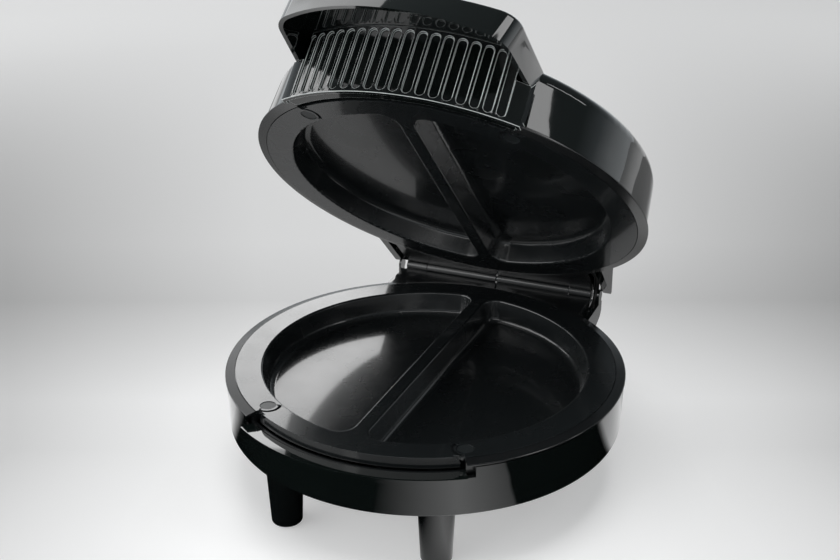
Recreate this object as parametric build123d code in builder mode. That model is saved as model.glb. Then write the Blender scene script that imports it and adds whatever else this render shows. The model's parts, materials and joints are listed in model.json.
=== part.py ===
"""Electric omelette maker: two glossy round housings joined by a rear hinge.

Every half is drawn in its own frame: the origin is on the drum axis in the
mating plane, +Z points out of the cooking face, and the half lies below Z = 0.
The base frame stands upright. The lid frame is the same frame turned over and
swung open about the hinge axis, so shared pieces come from the same functions.
"""

from build123d import *
import os
from math import asin, cos, degrees, radians, sin, sqrt, tan

os.makedirs("parts", exist_ok=True)

# ---------------------------------------------------------------- dimensions
# Turns in degrees, with the front of a half at minus a quarter turn
quarter_turn = 90.0
half_turn = 180.0
front_angle = -quarter_turn

# Overall stack, millimetres
foot_height = 35.0
base_depth = 31.5
lid_depth = 40.0
open_angle = 44.0
seat_gap = 0.3
joint_gap = 0.3
touch_gap = 0.1

# Cooking plates
cavity_r = 95.0
rim_width = 15.6
plate_r = cavity_r + rim_width
cavity_depth = 15.0
cavity_draft = 10.0
cavity_corner_r = 9.0
cavity_floor_r = 5.0
cavity_lip_r = 1.4
divider_width = 8.6
plate_flange_t = 3.0
plate_wall = 2.5
plate_floor_t = 3.0
lip_r = plate_r - 1.1
lip_t = 2.4
lip_depth = 6.2
lip_half_angle = 32.0
lip_corner_r = 4.5

# Inner frame that carries each plate
ring_gap = 0.4
ring_r = plate_r + 5.8
ring_top = 0.2
ring_fall = 1.0
ring_nose = 0.3
ring_bottom = 2.2
shelf_inner_r = plate_r - 12.0
shelf_t = 2.3
skirt_r = plate_r + 1.3
skirt_t = 2.0
skirt_depth = 11.0
front_cut_r = plate_r - 5.6
front_cut_clear = 1.2
front_cut_angle = 33.3

# Outer casings
rim_depth = 3.2
casing_wall = 2.5
base_wall_r = ring_r - 0.6
base_wall_draft = 0.8
base_bottom_r = 1.2
lid_wall_r = ring_r - 1.5
lid_wall = 2.2
lid_wall_draft = 3.2
lid_edge_r = 11.0
notch_half_angle = 35.5
notch_depth = 9.2
ledge_r = base_wall_r + 4.7
ledge_t = 2.7
ledge_half_angle = 33.0

# Grip panel at the front of the lid
grip_r = lid_wall_r + 6.6
grip_wall = 2.4
grip_half_angle = 33.0
grip_drop = 1.5
grip_end_x = grip_r * sin(radians(grip_half_angle)) - 0.2
grip_contact_y = sqrt(lid_wall_r**2 - grip_end_x**2)
grip_end_y = grip_contact_y - 1.2
grip_upper_y = grip_contact_y + 0.6
grip_step_y = grip_contact_y + 4.1
grip_step_z = 2.6
grip_floor_r = plate_r + 1.4
grip_floor_top = 0.2
grip_floor_t = 1.8
pocket_count = 18
pocket_pitch = 3.28
pocket_depth = 1.3
pocket_width = 5.0
pocket_bottom = 0.4
pocket_top = 35.5

# Hood over the grip: plan at its lip and plan at its top
hood_height = 18.0
hood_wall = 2.4
hood_edge_r = 3.0
hood_root_y = lid_wall_r - 34.9
hood_lip_plan = {"root": grip_end_x + 1.5, "front": grip_end_x - 4.8, "bow": 100.0}
hood_lip_plan.update(reach=grip_r + 40.0, corner=20.0)
hood_top_plan = {"root": grip_end_x - 0.2, "front": grip_end_x - 2.3, "bow": 150.0}
hood_top_plan.update(reach=grip_r + 29.0, corner=15.0)
shoulder_y = grip_contact_y + 6.3
shoulder_rise = 10.0

# Hinge
hinge_y = base_wall_r + 11.3
knuckle_r = 3.8
pin_r = 1.7
pin_clear = 0.05
centre_gap = 1.4
knuckle_gap = 0.6
inner_knuckle = 49.5
outer_knuckle = 14.6
arm_top = 1.2
arm_bottom = 5.0
arm_foot_y = base_wall_r - 35.8
hinge_wall = 2.0
block_top = 5.3
block_root_y = base_wall_r - 30.8
block_rear = 3.9
block_depth = 20.0
block_slope_y = hinge_y - 12.1
block_corner_y = hinge_y + 0.9
block_corner_z = 15.5
block_back_z = 12.0
cheek_in = 69.8
cheek_out = 71.4
lug_r = 3.9
lug_rear = 2.4
ear_in = 72.1
ear_out = 77.0
roof_root_y = lid_wall_r - 30.9
roof_bottom = 2.6
roof_top = 26.0
roof_offset = 9.05
roof_t = 2.83
roof_end_y = 4.0
ear_nose_y = 3.7
ear_nose_z = 3.2
ear_heel_y = 1.4
lead_slot_half = 2.2
roof_slot_top = 17.6
roof_slot_root = 8.0
block_slot_depth = 13.0
lead_slot_y = hinge_y - 10.1

# Interconnect lead across the hinge
lead_x = 67.6
lead_r = 1.8
lead_exit_y = 0.4
lead_inner_y = hinge_y - 13.1
lead_inner_z = 13.0
lead_start_x = 40.0
lead_start_y = hinge_y - 28.1
lead_start_z = 14.5
lead_bend = 0.45

# Feet
foot_ring_r = plate_r - 8.2
foot_angle = 26.0
foot_top_r = 10.2
foot_bottom_r = 8.6
foot_edge_r = 1.4
foot_bore_r = 4.4
foot_web = 6.0
pad_r = 6.2
pad_clear = 0.1
pad_t = 3.0
pad_stand = 0.6

# Fasteners and bosses
boss_r = 4.2
screw_r = 1.5
screw_head_r = 3.2
screw_head_t = 2.2
screw_clear_r = 2.0
screw_engage = 9.0
thread_gap = 0.1
head_gap = 0.2
button_ring_r = plate_r - 8.3
button_angle = 34.3
button_r = 4.3
button_t = 2.6
button_stem_r = 2.2
button_stem = 9.0
button_gap = 0.2
button_recess = 0.3
slot_r = 6.7
slot_width = 1.8
slot_depth = 1.6
slot_from = 15.0
slot_sweep = -115.0

# Heating parts
element_r = 3.2
element_half_x = cavity_r - 31.0
element_half_y = cavity_r - 32.0
element_corner_r = 38.0
element_tail_x = 11.0
element_tail_r = 14.0
element_tail_y = plate_r - 13.6
element_gap = 0.15
cold_pin_r = 1.3
cold_pin_length = 9.0
bush_r = 2.9
bush_length = 3.0
bush_gap = 0.1
strap_t = 1.0
strap_width = 9.0
strap_foot = 6.0
strap_clear = 0.25
strap_front_x = 20.0
strap_screw_r = 1.4
strap_screw_head_r = 2.5
strap_screw_head_t = 1.6
strap_screw_engage = 2.4
reflector_r = shelf_inner_r - 1.8
reflector_flat_r = reflector_r - 5.8
reflector_t = 0.6
reflector_gap = 1.4
reflector_rim = 5.0
reflector_slot_x = 17.0
reflector_slot_y = reflector_flat_r - 5.0
post_r = 4.0
reflector_screw_engage = 3.2
reflector_screw_hole = 3.5
post_ring_r = 44.0
post_angles = (90, 210, 330)

# Electrical parts
thermostat_x = 30.0
thermostat_r = 7.6
thermostat_t = 4.0
thermostat_cap_r = 5.2
thermostat_cap_t = 1.8
tab_width = 4.0
tab_length = 7.0
tab_t = 0.8
fuse_x = 30.0
fuse_r = 2.0
fuse_length = 12.0
fuse_wire_r = 0.6
fuse_wire = 9.0
block_x = 27.0
block_y = base_wall_r - 14.8
block_length = 17.0
block_width = 9.0
block_height = 9.0
block_pitch = 8.0
terminal_bore_r = 1.9
terminal_screw_r = 1.6
terminal_screw_t = 4.0
gland_z = 25.0
gland_hole_r = 3.5
gland_body_r = 3.4
gland_flange_r = 4.6
gland_flange_t = 2.0
gland_bore_r = 2.4
gland_length = 13.0
lamp_x = 11.0
lamp_y = lid_wall_r - 17.9
lens_r = 3.8
lens_flange_r = 4.8
lens_flange_t = 1.2
lens_length = 5.6
lens_gap = 0.1
lamp_r = 2.4
lamp_length = 10.0
lamp_z = 31.5
holder_length = 36.0
holder_width = 12.0
holder_t = 1.2
holder_z = 28.8
holder_post_r = 3.0

# ------------------------------------------------------------------- frames
seat_z = foot_height + base_depth
swing = radians(open_angle)
lid_wall_slope = tan(radians(lid_wall_draft))

# The object is centred front to back between its ledge and the open lid
lid_back_reach = hinge_y * (1 - cos(swing)) + (lid_wall_r - lid_depth * lid_wall_slope) * cos(swing)
lid_back_reach += lid_depth * sin(swing) - lid_edge_r * (cos(swing) + sin(swing) - 1)
drum_y = (ledge_r - lid_back_reach) / 2

hinge_z = seat_gap / 2
hinge_point = Vector(0, drum_y + hinge_y, seat_z + hinge_z)
lid_offset = Vector(0, -hinge_y, hinge_z).rotate(Axis.X, -open_angle)
lid_facing = Vector(0, 0, -1).rotate(Axis.X, -open_angle)
base_frame = Plane(origin=(0, drum_y, seat_z), x_dir=(1, 0, 0), z_dir=(0, 0, 1))
lid_frame = Plane(origin=hinge_point + lid_offset, x_dir=(-1, 0, 0), z_dir=lid_facing)

# Levels shared by the pieces, all measured down from the mating plane
shelf_top = plate_flange_t + joint_gap
shelf_bottom = shelf_top + shelf_t
plate_back = cavity_depth + plate_floor_t
element_z = plate_back + element_gap + element_r
reflector_z = element_z + element_r + reflector_gap
reflector_back = reflector_z + reflector_t
base_floor = base_depth - casing_wall
lid_ceiling = lid_depth - casing_wall
hood_bottom = lid_depth - hood_height
inner_knuckle_end = centre_gap / 2 + inner_knuckle
outer_knuckle_start = inner_knuckle_end + knuckle_gap
outer_knuckle_end = outer_knuckle_start + outer_knuckle
foot_x = foot_ring_r * sin(radians(foot_angle))
foot_y = foot_ring_r * cos(radians(foot_angle))
foot_places = [(x, y) for x in (-foot_x, foot_x) for y in (-foot_y, foot_y)]
button_x = button_ring_r * sin(radians(button_angle))
button_y = button_ring_r * cos(radians(button_angle))
lid_boss_bottom = shelf_bottom + screw_head_t + shelf_t
grip_corner_y = sqrt(grip_r**2 - grip_end_x**2)
shoulder_top = hood_bottom + shoulder_y - grip_upper_y - joint_gap
post_places = [(post_ring_r * cos(radians(a)), post_ring_r * sin(radians(a))) for a in post_angles]


def radial_section(frame):
    """Half plane through the drum axis: local X is the radius, local Y the height."""
    return Plane(frame.origin, x_dir=frame.x_dir, z_dir=-frame.y_dir)


def side_section(frame):
    """Plane across the hinge: local X runs to the rear, local Y is the height."""
    return Plane(frame.origin, x_dir=frame.y_dir, z_dir=frame.x_dir)


def drum_axis(frame):
    """Axis of the round drum of one half."""
    return Axis(frame.origin, frame.z_dir)


def at(frame, x, y, z=0.0):
    """A point of one half, given in that half's own coordinates."""
    return frame.from_local_coords(Vector(x, y, z))


def front_sector(frame, inner, outer, half_angle):
    """Arc-shaped strip centred on the front of the drum."""
    with BuildSketch(frame) as strip:
        with BuildLine():
            far = CenterArc((0, 0), outer, front_angle - half_angle, 2 * half_angle)
            near = CenterArc((0, 0), inner, front_angle - half_angle, 2 * half_angle)
            Line(far @ 0, near @ 0)
            Line(far @ 1, near @ 1)
        make_face()
    return strip.sketch


def save(builder, name):
    """Label one finished sub-part and write it to its own file."""
    builder.part.label = name
    export_step(builder.part, "parts/" + name + ".step")


def strap_places():
    """Centre of each strap and the direction it spans, in half coordinates."""
    sides = [(x, 0.0, 0) for x in (-element_half_x, element_half_x)]
    fronts = [(x, -element_half_y, quarter_turn) for x in (-strap_front_x, strap_front_x)]
    return sides + fronts


def strap_screw_places():
    """Centres of the strap screws, two to a strap."""
    reach = element_r + strap_clear + strap_t + strap_foot / 2
    places = []
    for x, y, turn in strap_places():
        for side in (-1, 1):
            places.append((x + side * reach * cos(radians(turn)), y + side * reach * sin(radians(turn))))
    return places


# ----------------------------------------------------------- cooking plates
def half_moon(frame, side, grow):
    """Outline of one half-moon cavity, grown outwards by a wall."""
    radius = cavity_r + grow
    edge = divider_width / 2 - grow
    with BuildSketch(frame) as outline:
        Circle(radius)
        with Locations((side * (edge + radius), 0)):
            Rectangle(2 * radius, 2 * radius, mode=Mode.INTERSECT)
        fillet(outline.vertices(), cavity_corner_r + grow)
    return outline.sketch


def cooking_plate(frame):
    """Die-cast plate: a flange, two half-moon pans and a turned-down front lip."""
    axis = drum_axis(frame)
    with BuildPart() as plate:
        with BuildSketch(frame):
            Circle(plate_r)
        extrude(amount=-plate_flange_t)
        front_edge = front_sector(frame, lip_r - lip_t / 2, plate_r + lip_t, front_cut_angle)
        extrude(front_edge, amount=-plate_flange_t, mode=Mode.SUBTRACT)
        for side in (-1, 1):
            extrude(half_moon(frame, side, plate_wall), amount=-plate_back, taper=cavity_draft)
        for side in (-1, 1):
            pan = half_moon(frame, side, 0.0)
            extrude(pan, amount=-cavity_depth, taper=cavity_draft, mode=Mode.SUBTRACT)
        pan_floors = plate.faces().filter_by(axis).sort_by(axis)[2:4]
        fillet(pan_floors.edges(), cavity_floor_r)
        top_face = plate.faces().filter_by(axis).sort_by(axis)[-1]
        fillet([wire.edges() for wire in top_face.inner_wires()], cavity_lip_r)
        # Holes for the release buttons and the curved spring slots round them
        for side in (-1, 1):
            with BuildSketch(frame):
                with Locations((side * button_x, -button_y)):
                    Circle(button_r + button_gap)
            extrude(amount=-plate_flange_t, mode=Mode.SUBTRACT)
            with BuildSketch(frame):
                middle = (side * button_x, -button_y)
                start = slot_from if side < 0 else half_turn - slot_from
                with BuildLine(mode=Mode.PRIVATE) as slot_path:
                    CenterArc(middle, slot_r, start, -side * slot_sweep)
                SlotArc(slot_path.edge(), slot_width)
            extrude(amount=-slot_depth, mode=Mode.SUBTRACT)
        # Blind holes under the floor for the strap screws
        with BuildSketch(frame.offset(-plate_back)):
            with Locations(*strap_screw_places()):
                Circle(strap_screw_r + thread_gap)
        extrude(amount=strap_screw_engage + thread_gap, mode=Mode.SUBTRACT)
    with BuildPart() as lip:
        extrude(front_sector(frame, lip_r - lip_t, lip_r, lip_half_angle), amount=-lip_depth)
        lip_ends = lip.faces().sort_by(axis)[-1].edges().filter_by(GeomType.LINE)
        fillet(lip_ends, lip_corner_r)
    plate.part = plate.part + lip.part
    return plate


def plate_buttons(frame):
    """Two round release buttons whose stems drop into the frame bosses."""
    with BuildPart() as buttons:
        with BuildSketch(frame.offset(-button_recess)):
            with Locations((-button_x, -button_y), (button_x, -button_y)):
                Circle(button_r)
        extrude(amount=-button_t)
        with BuildSketch(frame.offset(-button_recess)):
            with Locations((-button_x, -button_y), (button_x, -button_y)):
                Circle(button_stem_r)
        extrude(amount=-button_stem)
    return buttons


# -------------------------------------------------------------- inner frames
def hinge_arms(frame):
    """Web and two arms that carry the knuckles of one half, bored for the pin."""
    spans = [(-outer_knuckle_end, -outer_knuckle_start), (centre_gap / 2, inner_knuckle_end)]
    with BuildPart() as arms:
        for start, end in spans:
            with BuildSketch(side_section(frame).offset(start)):
                with BuildLine():
                    Polyline(
                        (arm_foot_y, -arm_top),
                        (hinge_y, -arm_top),
                        (hinge_y, -knuckle_r),
                        (hinge_y - knuckle_r, -arm_bottom),
                        (arm_foot_y, -arm_bottom),
                        close=True,
                    )
                make_face()
                with Locations((hinge_y, hinge_z)):
                    Circle(knuckle_r)
                    Circle(pin_r + pin_clear, mode=Mode.SUBTRACT)
            extrude(amount=end - start)
        # Web between the arms, ending just in front of the other half's knuckles
        web_end = hinge_y - knuckle_r - joint_gap
        with BuildSketch(frame.offset(-arm_top)):
            with Locations((0, arm_foot_y)):
                Rectangle(2 * outer_knuckle_end, web_end - arm_foot_y, align=(Align.CENTER, Align.MIN))
        extrude(amount=arm_top - arm_bottom)
        with BuildSketch(frame):
            Circle(skirt_r)
        extrude(amount=-2 * arm_bottom, mode=Mode.SUBTRACT)
    return arms.part


def inner_frame(frame, boss_bottom, screws_from_top):
    """Heat-resistant ring that carries the plate, with bosses and hinge arms."""
    axis = drum_axis(frame)
    with BuildPart() as ring:
        with BuildSketch(radial_section(frame)):
            with BuildLine():
                Polyline(
                    (plate_r + ring_gap, -ring_top),
                    (ring_r - ring_nose, -ring_top - ring_fall),
                    (ring_r, -ring_top - ring_fall - ring_nose),
                    (ring_r, -ring_bottom),
                    (skirt_r, -ring_bottom),
                    (skirt_r, -skirt_depth),
                    (skirt_r - skirt_t, -skirt_depth),
                    (skirt_r - skirt_t, -shelf_bottom),
                    (shelf_inner_r, -shelf_bottom),
                    (shelf_inner_r, -shelf_top),
                    (plate_r + ring_gap, -shelf_top),
                    close=True,
                )
            make_face()
        revolve(axis=axis)
        front_edge = front_sector(frame, front_cut_r, ring_r + ring_nose, front_cut_angle)
        extrude(front_edge, amount=-lip_depth - front_cut_clear, mode=Mode.SUBTRACT)
        # Screw bosses
        with BuildSketch(frame.offset(-shelf_bottom)):
            with Locations(*foot_places):
                Circle(boss_r)
        extrude(amount=shelf_bottom - boss_bottom)
        if screws_from_top:
            with BuildSketch(frame.offset(-shelf_top)):
                with Locations(*foot_places):
                    Circle(screw_head_r + head_gap)
            extrude(amount=-screw_head_t - head_gap, mode=Mode.SUBTRACT)
            with BuildSketch(frame.offset(-shelf_top)):
                with Locations(*foot_places):
                    Circle(screw_clear_r)
            extrude(amount=-boss_bottom, mode=Mode.SUBTRACT)
        else:
            with BuildSketch(frame.offset(-boss_bottom)):
                with Locations(*foot_places):
                    Circle(screw_r + thread_gap)
            extrude(amount=screw_engage + thread_gap, mode=Mode.SUBTRACT)
        # Button sockets
        with BuildSketch(frame.offset(-shelf_bottom)):
            with Locations((-button_x, -button_y), (button_x, -button_y)):
                Circle(boss_r)
        extrude(amount=-button_stem + shelf_t)
        with BuildSketch(frame.offset(-shelf_top)):
            with Locations((-button_x, -button_y), (button_x, -button_y)):
                Circle(button_stem_r + button_gap)
        extrude(amount=-button_stem + shelf_t / 2, mode=Mode.SUBTRACT)
    ring.part = ring.part + hinge_arms(frame)
    return ring


# --------------------------------------------------------------- base casing
def block_outline(wall):
    """Side profile of the hinge block, drawn inwards by a wall thickness."""
    with BuildLine() as outline:
        Polyline(
            (block_root_y, -block_top - wall),
            (hinge_y + block_rear - wall, -block_top - wall),
            (hinge_y + block_rear - wall, -block_back_z + wall / 2),
            (block_corner_y - wall, -block_corner_z + wall / 2),
            (block_slope_y - wall / 2, -block_depth + wall),
            (block_root_y, -block_depth + wall),
            close=True,
        )
    return outline.line


def round_wall(radius, draft, start, end):
    """Cone radius at two depths of a drafted drum wall."""
    slope = tan(radians(draft))
    return radius - start * slope, radius - end * slope


with BuildPart() as base_casing:
    wall_top_r, wall_bottom_r = round_wall(base_wall_r, base_wall_draft, 0, base_depth)
    with BuildSketch(radial_section(base_frame)):
        with BuildLine():
            Polyline(
                (0, -rim_depth),
                (wall_top_r, -rim_depth),
                (wall_bottom_r, -base_depth),
                (0, -base_depth),
                close=True,
            )
        make_face()
    revolve(axis=drum_axis(base_frame))
    fillet(base_casing.edges().sort_by(Axis.Z)[0], base_bottom_r)
    with BuildSketch(side_section(base_frame)):
        make_face(block_outline(0.0).edges())
    extrude(amount=cheek_out, both=True)
    # Rounded lugs beside the hinge knuckles
    for side in (-1, 1):
        with BuildSketch(side_section(base_frame).offset(side * cheek_in)):
            with Locations((hinge_y, hinge_z)):
                Circle(lug_r)
            with Locations((hinge_y + lug_rear, hinge_z)):
                Rectangle(lug_r + lug_rear, block_top + hinge_z, align=(Align.MAX, Align.MAX))
        extrude(amount=side * (cheek_out - cheek_in))
    # Hollow drum and hollow hinge block
    with BuildSketch(radial_section(base_frame)):
        with BuildLine():
            Polyline(
                (0, 0),
                (wall_top_r - casing_wall, 0),
                (wall_bottom_r - casing_wall, -base_floor),
                (0, -base_floor),
                close=True,
            )
        make_face()
    revolve(axis=drum_axis(base_frame), mode=Mode.SUBTRACT)
    with BuildSketch(side_section(base_frame)):
        make_face(block_outline(hinge_wall).edges())
    extrude(amount=cheek_in, both=True, mode=Mode.SUBTRACT)
    # Rear rim stays below the hinge arms
    with BuildSketch(base_frame):
        with Locations((0, block_root_y)):
            Rectangle(2 * cheek_in, hinge_y - block_root_y, align=(Align.CENTER, Align.MIN))
    extrude(amount=-block_top, mode=Mode.SUBTRACT)
    # Opening for the interconnect lead
    with BuildSketch(base_frame):
        with Locations((lead_x, lead_slot_y)):
            Rectangle(2 * lead_slot_half, hinge_y, align=(Align.CENTER, Align.MIN))
    extrude(amount=-block_slot_depth, mode=Mode.SUBTRACT)
    # Front notch and the ledge below it
    notch = front_sector(base_frame, front_cut_r, ledge_r, notch_half_angle)
    extrude(notch, amount=-notch_depth, mode=Mode.SUBTRACT)
    ledge_inner_r = base_wall_r - casing_wall
    ledge = front_sector(base_frame.offset(-notch_depth), ledge_inner_r, ledge_r, ledge_half_angle)
    extrude(ledge, amount=ledge_t)
    # Posts for the reflector
    with BuildSketch(base_frame.offset(-base_floor)):
        with Locations(*post_places):
            Circle(post_r)
    extrude(amount=base_floor - reflector_back)
    with BuildSketch(base_frame.offset(-reflector_back)):
        with Locations(*post_places):
            Circle(screw_r + thread_gap)
    extrude(amount=-reflector_screw_hole, mode=Mode.SUBTRACT)
    # Screw holes over the feet and the cord opening
    with BuildSketch(base_frame.offset(-base_depth)):
        with Locations(*foot_places):
            Circle(screw_clear_r)
    extrude(amount=casing_wall, mode=Mode.SUBTRACT)
    with BuildSketch(Plane(at(base_frame, 0, block_root_y, -gland_z), z_dir=base_frame.y_dir)):
        Circle(gland_hole_r)
    extrude(amount=hinge_y - block_root_y, mode=Mode.SUBTRACT)


# ---------------------------------------------------------------- lid casing
def hood_outline(frame, plan, inset):
    """Plan of the hood at one level, drawn inwards by a wall thickness."""
    half_root = plan["root"] - inset
    half_front = plan["front"] - inset
    radius = plan["bow"] - inset
    centre_y = plan["reach"] - plan["bow"]
    corner_y = centre_y + sqrt(radius**2 - half_front**2)
    with BuildSketch(frame) as outline:
        with BuildLine():
            ThreePointArc((-half_front, -corner_y), (0, -centre_y - radius), (half_front, -corner_y))
            Polyline(
                (half_front, -corner_y),
                (half_root, -hood_root_y),
                (-half_root, -hood_root_y),
                (-half_front, -corner_y),
            )
        make_face()
        fillet(outline.vertices().sort_by(Axis.Y)[0:2], plan["corner"] - inset)
    return outline.sketch


def hood_block(frame, inset, top):
    """Sloping-fronted solid of the hood from a given level to its lip."""
    with BuildPart() as block:
        top_outline = hood_outline(frame.offset(-top), hood_top_plan, inset)
        lip_outline = hood_outline(frame.offset(-hood_bottom), hood_lip_plan, inset)
        loft([top_outline.face(), lip_outline.face()])
    return block.part


def shoulder(frame):
    """Triangular side region where the grip panel meets the hood skirt."""
    low = hood_bottom
    high = hood_bottom + shoulder_rise
    with BuildSketch(side_section(frame)) as region:
        with BuildLine():
            Polyline(
                (-shoulder_y, -low),
                (-shoulder_y + shoulder_rise, -high),
                (-hood_root_y, -high),
                (-hood_root_y, -low),
                close=True,
            )
        make_face()
    return region.sketch


def drum_solid(frame, radius, draft, depth, edge_r, top):
    """Solid of revolution for a drafted drum with a rounded closed end."""
    open_r, closed_r = round_wall(radius, draft, 0, depth)
    with BuildPart() as drum:
        with BuildSketch(radial_section(frame)):
            with BuildLine():
                Polyline((0, -top), (open_r, -top), (closed_r, -depth), (0, -depth), close=True)
            make_face()
        revolve(axis=drum_axis(frame))
        fillet(drum.edges().group_by(drum_axis(frame))[0], edge_r)
    return drum.part


def rear_housing(frame, inset, half_width):
    """Solid block over the hinge at the rear of the lid, or its hollow."""
    slope_sum = hinge_y + roof_offset - inset * sqrt(2)
    top = roof_top - inset
    with BuildPart() as block:
        with BuildSketch(side_section(frame)):
            with BuildLine():
                if inset:
                    end_z = slope_sum - hinge_y - roof_end_y + inset / sqrt(2)
                    Polyline(
                        (roof_root_y - inset, 0),
                        (roof_root_y - inset, -top),
                        (slope_sum - top, -top),
                        (slope_sum - end_z, -end_z),
                        (slope_sum - end_z + 2 * inset, -end_z - 2 * inset),
                        (slope_sum - end_z + 2 * inset, 0),
                        close=True,
                    )
                else:
                    Polyline(
                        (roof_root_y, -roof_bottom),
                        (roof_root_y, -top),
                        (slope_sum - top, -top),
                        (hinge_y + roof_end_y, -(roof_offset - roof_end_y)),
                        (hinge_y + ear_nose_y, -ear_nose_z),
                        (hinge_y + ear_heel_y, -roof_bottom),
                        close=True,
                    )
            make_face()
        extrude(amount=half_width, both=True)
    return block.part


with BuildPart() as lid_casing:
    add(drum_solid(lid_frame, lid_wall_r, lid_wall_draft, lid_depth, lid_edge_r, rim_depth))
    # Hood that reaches forward over the grip
    with BuildPart(mode=Mode.PRIVATE) as hood:
        add(hood_block(lid_frame, 0.0, lid_depth))
        levels = hood.edges().filter_by(lambda edge: abs(edge.tangent_at(0).dot(lid_frame.z_dir)) < 0.01)
        levels = levels.group_by(drum_axis(lid_frame))
        fillet(levels[0], hood_edge_r)
        for side in (-1, 1):
            region = shoulder(lid_frame).moved(Location(side * grip_end_x * lid_frame.x_dir))
            extrude(region, amount=2 * hood_wall, both=True, mode=Mode.SUBTRACT)
    add(hood.part)
    add(rear_housing(lid_frame, 0.0, ear_out))
    # Hollow drum, hood and hinge housing
    hollow_r = lid_wall_r - lid_wall
    hollow = drum_solid(lid_frame, hollow_r, lid_wall_draft, lid_ceiling, lid_edge_r - casing_wall, 0)
    add(hollow, mode=Mode.SUBTRACT)
    add(hood_block(lid_frame, hood_wall, lid_ceiling), mode=Mode.SUBTRACT)
    finger_space = hood_outline(lid_frame.offset(-hood_bottom), hood_lip_plan, hood_wall)
    extrude(finger_space, amount=hood_bottom, mode=Mode.SUBTRACT)
    add(rear_housing(lid_frame, roof_t / sqrt(2), ear_in), mode=Mode.SUBTRACT)
    # Front of the drum wall gives way to the grip panel
    opening = front_sector(lid_frame, front_cut_r, grip_r, notch_half_angle)
    extrude(opening, amount=-hood_bottom, mode=Mode.SUBTRACT)
    with BuildSketch(lid_frame.offset(-lid_ceiling)):
        add(front_sector(Plane.XY, front_cut_r, grip_r, notch_half_angle))
        add(hood_outline(Plane.XY, hood_top_plan, hood_wall), mode=Mode.INTERSECT)
    extrude(amount=hood_height, mode=Mode.SUBTRACT)
    # Slot in the roof for the interconnect lead
    with BuildSketch(lid_frame):
        with Locations((-lead_x, hinge_y - roof_slot_root)):
            Rectangle(2 * lead_slot_half, hinge_y, align=(Align.CENTER, Align.MIN))
    extrude(amount=-roof_slot_top, mode=Mode.SUBTRACT)
    # Screw posts that carry the inner frame
    with BuildSketch(lid_frame.offset(-lid_ceiling)):
        with Locations(*foot_places):
            Circle(boss_r)
    extrude(amount=lid_ceiling - lid_boss_bottom)
    with BuildSketch(lid_frame.offset(-lid_boss_bottom)):
        with Locations(*foot_places):
            Circle(screw_r + thread_gap)
    extrude(amount=-screw_engage - thread_gap, mode=Mode.SUBTRACT)
    # Posts for the reflector
    with BuildSketch(lid_frame.offset(-lid_ceiling)):
        with Locations(*post_places):
            Circle(post_r)
    extrude(amount=lid_ceiling - reflector_back)
    with BuildSketch(lid_frame.offset(-reflector_back)):
        with Locations(*post_places):
            Circle(screw_r + thread_gap)
    extrude(amount=-reflector_screw_hole, mode=Mode.SUBTRACT)
    # Windows for the two indicator lenses
    with BuildSketch(lid_frame.offset(-lid_depth)):
        with Locations((-lamp_x, -lamp_y), (lamp_x, -lamp_y)):
            Circle(lens_r + lens_gap)
    extrude(amount=casing_wall, mode=Mode.SUBTRACT)

# ---------------------------------------------------------------- grip panel
with BuildPart() as grip_panel:
    wall_top = lid_ceiling - touch_gap
    lower_edge = front_sector(lid_frame.offset(grip_drop), grip_r - grip_wall, grip_r, grip_half_angle)
    extrude(lower_edge, amount=-wall_top - grip_drop)
    # Floor strip between the plate lip and the grip wall
    floor_strip = front_sector(
        lid_frame.offset(-grip_floor_top), grip_floor_r, grip_r - grip_wall / 2, grip_half_angle
    )
    extrude(floor_strip, amount=-grip_floor_t)
    # End walls that run back to the drum
    for side in (-1, 1):
        outer_face = side_section(lid_frame).offset(side * grip_end_x)
        with BuildSketch(outer_face):
            with BuildLine():
                Polyline(
                    (-grip_corner_y, grip_drop),
                    (-grip_step_y, grip_drop),
                    (-grip_step_y, -grip_step_z),
                    (-grip_end_y, -grip_step_z),
                    (-grip_end_y, -hood_bottom + joint_gap),
                    (-grip_upper_y, -hood_bottom + joint_gap),
                    (-grip_upper_y, -shoulder_top),
                    (-shoulder_y, -hood_bottom + joint_gap),
                    (-grip_corner_y, -hood_bottom + joint_gap),
                    close=True,
                )
            make_face()
        extrude(amount=-side * grip_wall)
    # Upright finger pockets across the face
    with BuildPart(mode=Mode.PRIVATE) as pockets:
        for index in range(pocket_count):
            angle = radians(front_angle + (index - (pocket_count - 1) / 2) * pocket_pitch)
            facing = lid_frame.x_dir * cos(angle) + lid_frame.y_dir * sin(angle)
            floor_point = lid_frame.origin + facing * (grip_r - pocket_depth)
            with BuildSketch(Plane(floor_point, x_dir=facing.cross(lid_frame.z_dir), z_dir=facing)):
                with Locations((0, (pocket_bottom + pocket_top) / 2)):
                    SlotOverall(pocket_top - pocket_bottom, pocket_width, rotation=quarter_turn)
            extrude(amount=pocket_width)
    add(pockets.part, mode=Mode.SUBTRACT)
    # Above the skirt line the panel narrows to slip inside the hood
    slip_half_width = hood_lip_plan["front"] - hood_wall - joint_gap
    for side in (-1, 1):
        with BuildSketch(side_section(lid_frame).offset(side * slip_half_width)):
            with BuildLine():
                Polyline(
                    (-2 * grip_r, -hood_bottom + joint_gap),
                    (-shoulder_y, -hood_bottom + joint_gap),
                    (-grip_upper_y, -shoulder_top),
                    (-grip_upper_y, -lid_depth),
                    (-2 * grip_r, -lid_depth),
                    close=True,
                )
            make_face()
        extrude(amount=side * grip_r, mode=Mode.SUBTRACT)


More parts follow.
